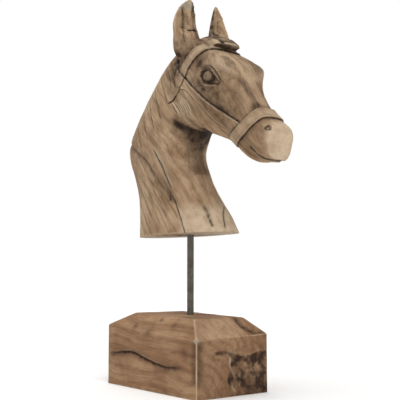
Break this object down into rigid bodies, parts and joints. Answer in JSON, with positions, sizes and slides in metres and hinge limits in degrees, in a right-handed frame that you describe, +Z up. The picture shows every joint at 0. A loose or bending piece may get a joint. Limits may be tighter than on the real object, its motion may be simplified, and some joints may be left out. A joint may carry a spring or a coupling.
{
  "type": "carved wooden horse head sculpture on stand",
  "caption": "Driftwood horse head bust with a carved bridle, held on a steel rod above a chamfered wooden block.",
  "frame": {"origin": "centre of the block's flat underside", "axes": "+Z up along the rod, +X the way the horse looks, along the block's long sides, +Y the horse's left"},
  "size_m": [0.3537, 0.128, 0.574],
  "materials": {
    "bust_wood": "weathered driftwood, dry and matt, sanded smooth, dark in the carved lines",
    "block_wood": "reddish brown weathered wood with an open crack and dark stained flaws, low sheen",
    "rod_steel": "dark bare steel, dull"
  },
  "bodies": {
    "root": {"base_block": "block_wood", "support_rod": "rod_steel", "horse_bust": "bust_wood"}
  },
  "joints": []
}
